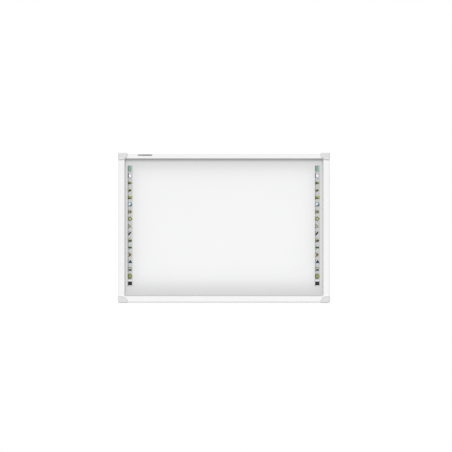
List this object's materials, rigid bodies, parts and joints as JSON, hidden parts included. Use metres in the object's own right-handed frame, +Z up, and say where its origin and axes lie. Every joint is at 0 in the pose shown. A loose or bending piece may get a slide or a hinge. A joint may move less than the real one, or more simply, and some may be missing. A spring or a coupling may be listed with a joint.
{
  "type": "interactive whiteboard",
  "caption": "Wall-mounted infrared interactive whiteboard: laminated writing board in an aluminium frame with corner caps, touch-key strips and sliding wall brackets.",
  "frame": {"origin": "on the wall plane, straight behind the middle of the board", "axes": "+X to the viewer's right, +Y into the wall (the board faces -Y), +Z up"},
  "size_m": [1.74, 0.047, 1.24],
  "materials": {
    "writing_face": "matte white coated steel",
    "panel_core": "paper honeycomb board",
    "back_sheet": "galvanised sheet with faint spangle",
    "frame_white": "satin white powder coat on extruded aluminium",
    "cap_grey": "fine moulded texture, light grey",
    "infill_white": "moulded, off-white",
    "bare_aluminium": "die cast, untreated",
    "fasteners": "bright zinc plated",
    "filter_smoke": "infrared-passing acrylic, dark smoke",
    "circuit_board": "green solder mask",
    "socket_shell": "nickel-plated shell",
    "lead_jacket": "PVC jacket",
    "key_strip": "printed vinyl film, satin",
    "badge": "blank satin grey plate",
    "bracket_zinc": "zinc-plated pressed sheet",
    "glide_nylon": "natural nylon",
    "bumper_rubber": "matte black"
  },
  "bodies": {
    "board": {"writing_surface": "writing_face", "panel_core": "panel_core", "back_sheet": "back_sheet", "rail_top": "frame_white", "rail_right": "frame_white", "rail_bottom": "frame_white", "rail_left": "frame_white", "corner_cap_top_left": "cap_grey", "corner_cap_top_right": "cap_grey", "corner_cap_bottom_left": "cap_grey", "corner_cap_bottom_right": "cap_grey", "corner_infill_top_left": "infill_white", "corner_infill_top_right": "infill_white", "corner_infill_bottom_left": "infill_white", "corner_infill_bottom_right": "infill_white", "corner_key_top_left": "bare_aluminium", "corner_key_top_right": "bare_aluminium", "corner_key_bottom_left": "bare_aluminium", "corner_key_bottom_right": "bare_aluminium", "cap_screw_top_left_end": "fasteners", "cap_screw_top_left_side": "fasteners", "cap_screw_top_right_end": "fasteners", "cap_screw_top_right_side": "fasteners", "cap_screw_bottom_left_end": "fasteners", "cap_screw_bottom_left_side": "fasteners", "cap_screw_bottom_right_end": "fasteners", "cap_screw_bottom_right_side": "fasteners", "filter_top": "filter_smoke", "filter_right": "filter_smoke", "filter_bottom": "filter_smoke", "filter_left": "filter_smoke", "emitter_board_top": "circuit_board", "emitter_board_left": "circuit_board", "receiver_board_right": "circuit_board", "receiver_board_bottom": "circuit_board", "controller_board": "circuit_board", "usb_socket": "socket_shell", "controller_lead": "lead_jacket", "corner_lead_top_left": "lead_jacket", "corner_lead_top_right": "lead_jacket", "corner_lead_bottom_right": "lead_jacket", "key_strip_left": "key_strip", "key_strip_right": "key_strip", "badge": "badge", "bumper_upper_left": "bumper_rubber", "bumper_upper_right": "bumper_rubber", "bumper_lower_left": "bumper_rubber", "bumper_lower_right": "bumper_rubber"},
    "hook_upper_left": {"bracket_upper_left": "bracket_zinc", "glide_upper_left": "glide_nylon"},
    "hook_upper_right": {"bracket_upper_right": "bracket_zinc", "glide_upper_right": "glide_nylon"},
    "hook_lower_left": {"bracket_lower_left": "bracket_zinc", "glide_lower_left": "glide_nylon"},
    "hook_lower_right": {"bracket_lower_right": "bracket_zinc", "glide_lower_right": "glide_nylon"}
  },
  "joints": [
    {"name": "slide_upper_left", "type": "slide", "parent": "board", "child": "hook_upper_left", "axis": [1, 0, 0], "range_m": [-0.2, 0.45]},
    {"name": "slide_upper_right", "type": "slide", "parent": "board", "child": "hook_upper_right", "axis": [1, 0, 0], "range_m": [-0.45, 0.2]},
    {"name": "slide_lower_left", "type": "slide", "parent": "board", "child": "hook_lower_left", "axis": [1, 0, 0], "range_m": [-0.2, 0.45]},
    {"name": "slide_lower_right", "type": "slide", "parent": "board", "child": "hook_lower_right", "axis": [1, 0, 0], "range_m": [-0.45, 0.2]}
  ]
}
